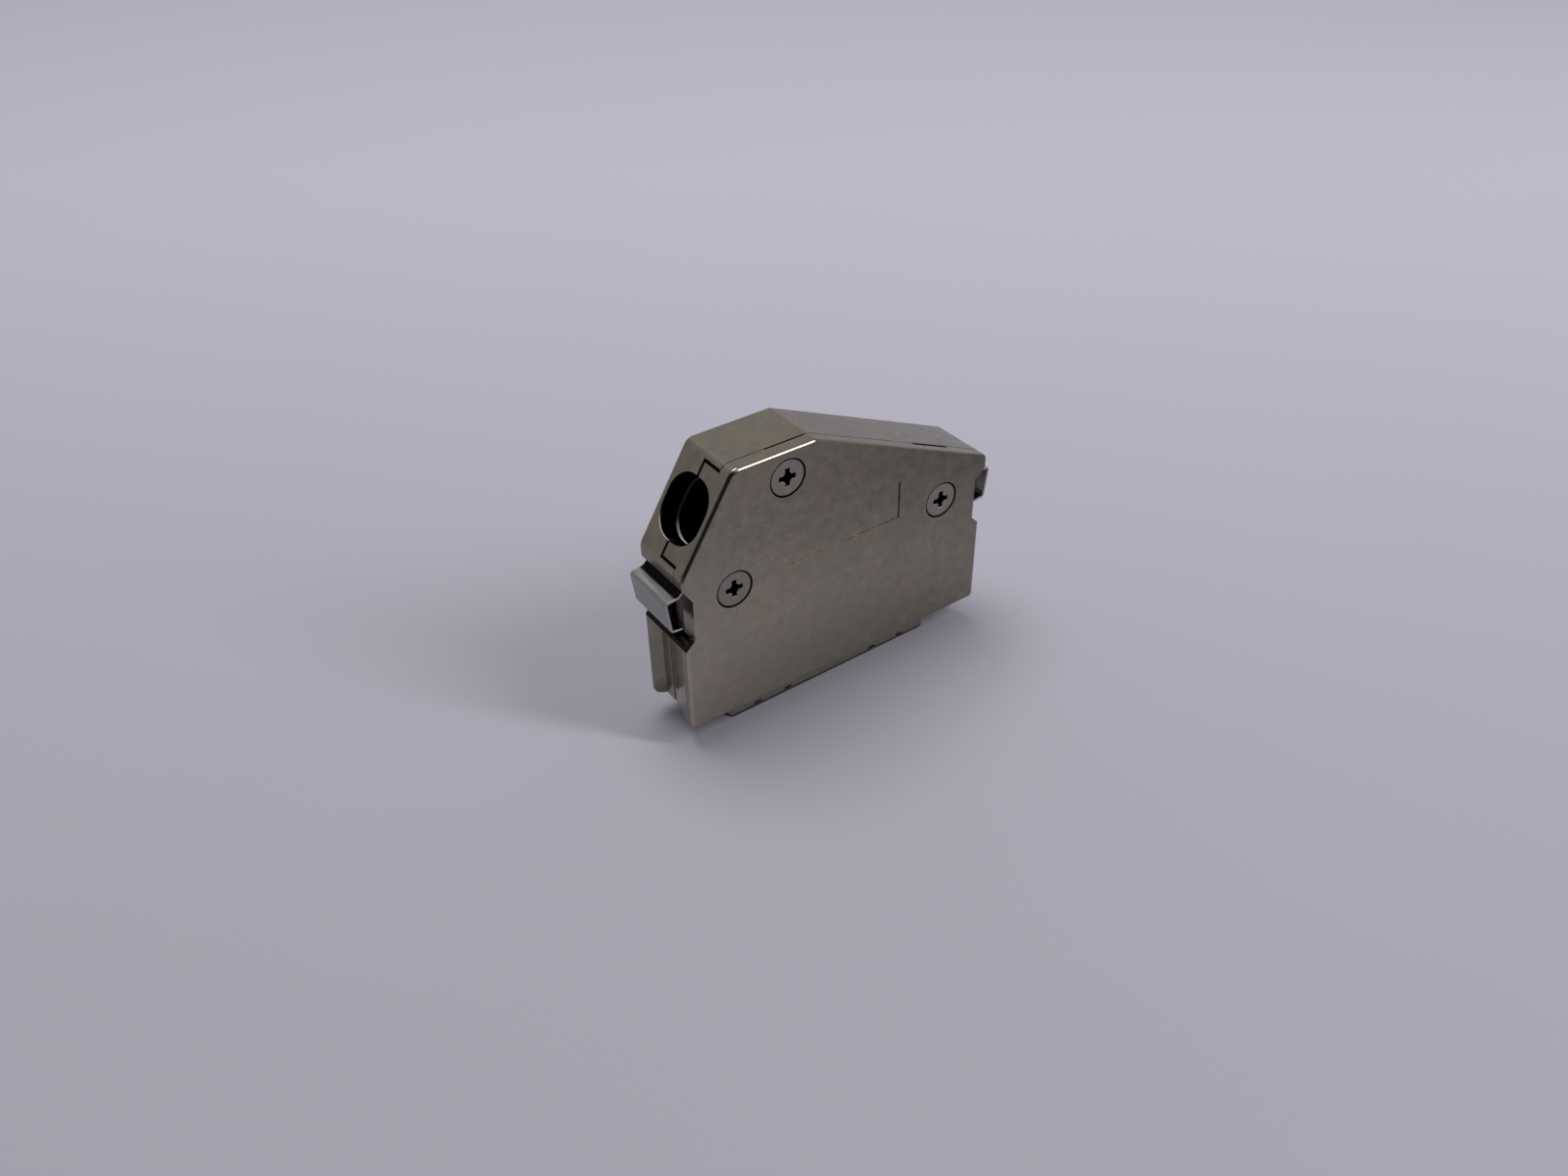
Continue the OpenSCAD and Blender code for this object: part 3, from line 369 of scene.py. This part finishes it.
# Plug shield
# The nose that goes into the socket, drawn from nickel-plated steel sheet, with four small slots
# along it and a flat flange that the hood clamps.
def plated_steel():
    """Bright nickel on drawn steel sheet: grey, with faint draw lines and a rim at the nose's end painted
    black as painted shade.
    """
    made, tree, shader, place = start_material("bright nickel on steel sheet")

    # The lines that the die leaves are drawn 0.3 mm apart, much coarser than they are, so that they show.
    stretch = add(tree, "ShaderNodeMapping", {"Vector": place, "Scale": (1, 1, 0.06)})
    lines = add(tree, "ShaderNodeTexNoise", {
        "Vector": stretch.outputs["Vector"], "Scale": per_mm(0.3), "Detail": 3})
    tint = add(tree, "ShaderNodeValToRGB", {"Fac": lines.outputs["Fac"]})
    tint.color_ramp.elements[0].color = linear("#a09c90")
    tint.color_ramp.elements[1].color = linear("#afab9f")
    drawn = add(tree, "ShaderNodeBump", {
        "Height": lines.outputs["Fac"], "Strength": 1, "Distance": 0.000004})
    tree.links.new(drawn.outputs["Normal"], shader.inputs["Normal"])

    # The rim at the nose's end is painted black: painted shade where the nose stands on the floor.
    black_to, unshaded_from = 0.00018, 0.00038
    at = add(tree, "ShaderNodeSeparateXYZ", {"Vector": place}).outputs
    rim = add(tree, "ShaderNodeMapRange", {
        "Value": at["Z"], "From Min": black_to, "From Max": unshaded_from, "To Min": 0.06, "To Max": 1})
    shade = add(tree, "ShaderNodeVectorMath", {
        0: tint.outputs["Color"], 1: rim.outputs["Result"]}, operation="MULTIPLY")
    tree.links.new(shade.outputs["Vector"], shader.inputs["Base Color"])
    shader.inputs["Metallic"].default_value = 1
    shader.inputs["Roughness"].default_value = 0.34
    return made


dress("plug_shield", plated_steel())


# Plug insulator
# One moulding of black glass-filled polyester: the flange, the block for the solder tails, and the
# tongue in the nose that carries both rows of contacts.
def black_polyester():
    """Glass-filled polyester as moulded: near black, half matt, with a fine grain."""
    made, tree, shader, place = start_material("black glass-filled polyester")

    # The grain of the glass is drawn at a quarter of a millimetre, coarser than it is, so that it shows.
    grain = add(tree, "ShaderNodeTexNoise", {"Vector": place, "Scale": per_mm(0.25), "Detail": 3})
    tint = add(tree, "ShaderNodeValToRGB", {"Fac": grain.outputs["Fac"]})
    tint.color_ramp.elements[0].color = linear("#161617")
    tint.color_ramp.elements[1].color = linear("#232324")
    tree.links.new(tint.outputs["Color"], shader.inputs["Base Color"])
    mould = add(tree, "ShaderNodeBump", {"Height": grain.outputs["Fac"], "Strength": 1, "Distance": 0.00001})
    tree.links.new(mould.outputs["Normal"], shader.inputs["Normal"])
    shader.inputs["Roughness"].default_value = 0.5
    shader.inputs["IOR"].default_value = 1.57
    return made


dress("plug_insulator", black_polyester())


# Contacts
# Two rows of 25 flat bronze contacts, stamped from strip, bevelled at both ends and flashed with gold.
# They are pressed into slots along the insulator.
def gold_flash():
    """Thin gold over nickel: pale yellow, with faint rolling lines along the contact."""
    made, tree, shader, place = start_material("gold flash on bronze")

    # The rolling lines are drawn 0.15 mm apart, coarser than they are, so that they show from close by.
    stretch = add(tree, "ShaderNodeMapping", {"Vector": place, "Scale": (1, 1, 0.05)})
    lines = add(tree, "ShaderNodeTexNoise", {
        "Vector": stretch.outputs["Vector"], "Scale": per_mm(0.15), "Detail": 2})
    tint = add(tree, "ShaderNodeValToRGB", {"Fac": lines.outputs["Fac"]})
    tint.color_ramp.elements[0].color = linear("#b9933f")
    tint.color_ramp.elements[1].color = linear("#d8b866")
    tree.links.new(tint.outputs["Color"], shader.inputs["Base Color"])
    shader.inputs["Metallic"].default_value = 1
    shader.inputs["Roughness"].default_value = 0.28
    return made


contact_gold = gold_flash()
for name in nodes:
    if "_contact_" in name:
        dress(name, contact_gold)


# Latches
# Two strips of polished spring steel, each stamped and bent to a squeeze button, an arm and a hook.
# Their ears sit in pockets of the shells, so each rides on a body of its own.
def spring_steel():
    """Polished stainless strip: grey, streaked across its width, with painted light inside the button,
    painted shade where it runs under the hood, and sheared edges that are partly a painted highlight.
    """
    made, tree, shader, place = start_material("polished spring steel")
    at = add(tree, "ShaderNodeSeparateXYZ", {"Vector": place}).outputs

    # The streaks of the polish are drawn 0.35 mm apart, coarser than they are, so that they show.
    stretch = add(tree, "ShaderNodeMapping", {"Vector": place, "Scale": (1, 0.06, 1)})
    lines = add(tree, "ShaderNodeTexNoise", {
        "Vector": stretch.outputs["Vector"], "Scale": per_mm(0.35), "Detail": 4, "Roughness": 0.6})
    tint = add(tree, "ShaderNodeValToRGB", {"Fac": lines.outputs["Fac"]})
    tint.color_ramp.elements[0].position = 0.3
    tint.color_ramp.elements[0].color = linear("#8d8a89")
    tint.color_ramp.elements[1].position = 0.7
    tint.color_ramp.elements[1].color = linear("#aca9a8")

    # The faces of the button that face inwards are painted lighter: painted light.
    facing = add(tree, "ShaderNodeNewGeometry", {})
    slope = add(tree, "ShaderNodeSeparateXYZ", {"Vector": facing.outputs["True Normal"]})
    end = add(tree, "ShaderNodeMath", {0: at["X"]}, operation="SIGN")
    outwards = add(tree, "ShaderNodeMath", {
        0: slope.outputs["X"], 1: end.outputs["Value"]}, operation="MULTIPLY")
    inside = add(tree, "ShaderNodeMapRange", {
        "Value": outwards.outputs["Value"], "From Min": -0.4, "From Max": -0.8})
    inside_painted_light = add(tree, "ShaderNodeMixRGB", {
        "Fac": inside.outputs["Result"], "Color1": tint.outputs["Color"], "Color2": linear("#b4b1a6")})

    # Where the button runs in under the hood, it is painted black: painted shade and a painted dark
    # reflection of the hood's underside.
    hood_end, crease_height, fade = 0.0262, 0.02535, 0.0003
    outward = add(tree, "ShaderNodeMath", {0: at["X"]}, operation="ABSOLUTE")
    under = add(tree, "ShaderNodeMapRange", {
        "Value": outward.outputs["Value"], "From Min": hood_end, "From Max": hood_end - fade})
    above = add(tree, "ShaderNodeMath", {0: at["Z"], 1: crease_height}, operation="GREATER_THAN")
    under_hood_shade = add(tree, "ShaderNodeMath", {
        0: under.outputs["Result"], 1: above.outputs["Value"]}, operation="MULTIPLY")
    with_hood_shade = add(tree, "ShaderNodeMixRGB", {
        "Fac": under_hood_shade.outputs["Value"], "Color1": inside_painted_light.outputs["Color"], "Color2": linear("#141313")})

    # The press leaves exposed, rougher metal along the edges of the strip, and their lighter colour is
    # partly that metal and partly a painted highlight.
    strip_half_width, shear_start, shear_full = 0.0044, 0.00006, 0.00002
    off_middle = add(tree, "ShaderNodeMath", {0: at["Y"]}, operation="ABSOLUTE")
    sheared = add(tree, "ShaderNodeMapRange", {
        "Value": off_middle.outputs["Value"],
        "From Min": strip_half_width - shear_start, "From Max": strip_half_width - shear_full})
    shade = add(tree, "ShaderNodeMixRGB", {
        "Fac": sheared.outputs["Result"], "Color1": with_hood_shade.outputs["Color"], "Color2": linear("#b2b0b0")})
    tree.links.new(shade.outputs["Color"], shader.inputs["Base Color"])
    gloss = add(tree, "ShaderNodeMapRange", {
        "Value": lines.outputs["Fac"], "From Min": 0.3, "From Max": 0.7, "To Min": 0.16, "To Max": 0.26})
    finish = add(tree, "ShaderNodeMath", {
        0: sheared.outputs["Result"], 1: 0.14, 2: gloss.outputs["Result"]}, operation="MULTIPLY_ADD")
    tree.links.new(finish.outputs["Value"], shader.inputs["Roughness"])

    edge = add(tree, "ShaderNodeBevel", {"Radius": 0.00008}, samples=6)
    rolled = add(tree, "ShaderNodeBump", {
        "Height": lines.outputs["Fac"], "Normal": edge.outputs["Normal"], "Strength": 1,
        "Distance": 0.000003})
    tree.links.new(rolled.outputs["Normal"], shader.inputs["Normal"])
    shader.inputs["Metallic"].default_value = 1
    return made


latch_steel = spring_steel()
for name in ("left_latch", "right_latch"):
    dress(name, latch_steel)


# Front shell
# The lid of the hood, cast and plated as the rear shell is. Its tongue closes the cable hole, and
# three countersinks take the screws.
dress("front_shell", hood_plate)


# Screws
# Three countersunk steel screws with cross recesses, plated a little yellower than the hood.
# They pass through the front shell and hold it to the bosses of the rear shell.
def screw_plate(name):
    """Nickel over a yellowish flash on cold-headed steel, with faint turning marks round the axis."""
    made, tree, shader, place = start_material("plated screw steel")
    away, head_radius = from_axis(tree, place, name)

    # The turning marks are drawn a quarter of a millimetre apart, as fine as the render shows.
    turn = add(tree, "ShaderNodeMath", {0: away, 1: math.tau * per_mm(0.25)}, operation="MULTIPLY")
    groove = add(tree, "ShaderNodeMath", {0: turn.outputs["Value"]}, operation="SINE")
    grain = add(tree, "ShaderNodeTexNoise", {"Vector": place, "Scale": per_mm(0.5), "Detail": 4})
    streak = add(tree, "ShaderNodeMath", {
        0: groove.outputs["Value"], 1: 0.08, 2: grain.outputs["Fac"]}, operation="MULTIPLY_ADD")
    tint = add(tree, "ShaderNodeValToRGB", {"Fac": streak.outputs["Value"]})
    tint.color_ramp.elements[0].position = 0.25
    tint.color_ramp.elements[0].color = linear("#89857a")
    tint.color_ramp.elements[1].position = 0.75
    tint.color_ramp.elements[1].color = linear("#9a958a")

    # The cross and the ring round the head are painted dark: painted shade in the recess and the gap, with
    # some dirt.
    head_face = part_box(name)[0].y
    cross_start, cross_full = 0.00004, 0.0003
    ring_start, ring_full = 0.00012, 0.00004
    at = add(tree, "ShaderNodeSeparateXYZ", {"Vector": place}).outputs
    cross = add(tree, "ShaderNodeMapRange", {
        "Value": at["Y"], "From Min": head_face + cross_start, "From Max": head_face + cross_full,
        "To Min": 1, "To Max": 0.06})
    ring = add(tree, "ShaderNodeMapRange", {
        "Value": away, "From Min": head_radius - ring_start, "From Max": head_radius - ring_full,
        "To Min": 1, "To Max": 0.1})
    shade_and_dirt_factor = add(tree, "ShaderNodeMath", {
        0: cross.outputs["Result"], 1: ring.outputs["Result"]}, operation="MULTIPLY")
    shade = add(tree, "ShaderNodeVectorMath", {
        0: tint.outputs["Color"], 1: shade_and_dirt_factor.outputs["Value"]}, operation="MULTIPLY")
    tree.links.new(shade.outputs["Vector"], shader.inputs["Base Color"])

    edge = add(tree, "ShaderNodeBevel", {"Radius": 0.00006}, samples=6)
    worn = add(tree, "ShaderNodeBump", {
        "Height": streak.outputs["Value"], "Normal": edge.outputs["Normal"], "Strength": 1,
        "Distance": 0.000005})
    tree.links.new(worn.outputs["Normal"], shader.inputs["Normal"])
    shader.inputs["Metallic"].default_value = 1
    shader.inputs["Roughness"].default_value = 0.3
    return made


for name in screws:
    dress(name, screw_plate(name))


# Floor and light
# A plain sheet of pale lavender-grey paper, painted lighter towards the back as painted light. A large soft
# lamp hangs over it, a smaller one stands at the right front, and the room round it is light behind and dark
# at the left front.
def pale_paper():
    """Matt paper: pale lavender grey, painted a little lighter towards the back as painted light, with the
    faintest mottle.
    """
    made, tree, shader, place = start_material("matt pale paper")
    to_back, near_edge, far_edge = (0.57, 0.82, 0), -0.1, 0.25
    away = add(tree, "ShaderNodeVectorMath", {0: place, 1: to_back}, operation="DOT_PRODUCT")
    lighter = add(tree, "ShaderNodeMapRange", {
        "Value": away.outputs["Value"], "From Min": near_edge, "From Max": far_edge},
        interpolation_type="SMOOTHSTEP")
    mottle = add(tree, "ShaderNodeTexNoise", {"Vector": place, "Scale": per_mm(60), "Detail": 2})
    shift = add(tree, "ShaderNodeMath", {
        0: mottle.outputs["Fac"], 1: 0.06, 2: lighter.outputs["Result"]}, operation="MULTIPLY_ADD")
    tint = add(tree, "ShaderNodeValToRGB", {"Fac": shift.outputs["Value"]})
    tint.color_ramp.elements[0].color = linear("#a09faa")
    tint.color_ramp.elements[1].color = linear("#bab8c4")
    tree.links.new(tint.outputs["Color"], shader.inputs["Base Color"])
    shader.inputs["Roughness"].default_value = 0.9
    shader.inputs["Specular IOR Level"].default_value = 0.1
    return made


bpy.ops.mesh.primitive_plane_add(size=4, location=(0, 0, 0))
floor = bpy.context.object
floor.name = "floor"
floor.data.materials.append(pale_paper())

# The room's light grows from the left front to the right back, and falls a little towards the zenith.
to_light, zenith_level = (0.6, 0.75, 0.2), 0.92
room_levels = ((0.2, 0.07), (0.53, 0.38), (1, 0.57))
world = bpy.data.worlds.new("studio")
bpy.context.scene.world = world
world.use_nodes = True
room = world.node_tree
sky = room.nodes["Background"]
sky.inputs["Color"].default_value = linear("#f7f5f8")
way = room.nodes.new("ShaderNodeTexCoord").outputs["Generated"]
lean = add(room, "ShaderNodeVectorMath", {0: way, 1: to_light}, operation="DOT_PRODUCT")
facing = add(room, "ShaderNodeMapRange", {"Value": lean.outputs["Value"], "From Min": -1, "From Max": 1})
side = add(room, "ShaderNodeValToRGB", {"Fac": facing.outputs["Result"]})
side.color_ramp.elements.new(0.5)
for stop, (position, level) in zip(side.color_ramp.elements, room_levels):
    stop.position = position
    stop.color = (level, level, level, 1)
rise = add(room, "ShaderNodeSeparateXYZ", {"Vector": way})
zenith = add(room, "ShaderNodeMapRange", {"Value": rise.outputs["Z"], "To Min": 1, "To Max": zenith_level})
strength = add(room, "ShaderNodeMath", {
    0: side.outputs["Color"], 1: zenith.outputs["Result"]}, operation="MULTIPLY")
room.links.new(strength.outputs["Value"], sky.inputs["Strength"])

for name, place, width, height, energy in (
        ("overhead_lamp", (-0.05, 0.3, 1.05), 0.7, 0.7, 6.35),
        ("front_lamp", (0.411, -0.542, 0.59), 0.12, 0.6, 3.6)):
    bpy.ops.object.light_add(type="AREA", location=place)
    lamp = bpy.context.object
    lamp.name = name
    lamp.data.shape = "ELLIPSE"
    lamp.data.size = width
    lamp.data.size_y = height
    lamp.data.energy = energy
    lamp.rotation_euler = Vector(place).to_track_quat("Z", "Y").to_euler()

bpy.context.scene.view_settings.view_transform = "Standard"


# Camera
# It looks down on the hood's front from the left, as the photograph does. Its place, turns and lens were
# worked out from the corners of the hood.
camera_place, lens_mm, sensor_mm = (-0.09052, -0.12099, 0.12725), 30.285, 36
turn = Matrix.Rotation(math.radians(-34.907), 3, "Z")
tilt = Matrix.Rotation(math.radians(53), 3, "X")
roll = Matrix.Rotation(math.radians(-1.062), 3, "Z")
bpy.ops.object.camera_add(location=camera_place)
camera = bpy.context.object
camera.rotation_euler = (turn @ tilt @ roll).to_euler()
camera.data.sensor_width = sensor_mm
camera.data.lens = lens_mm
camera.data.clip_start = 0.01
bpy.context.scene.camera = camera
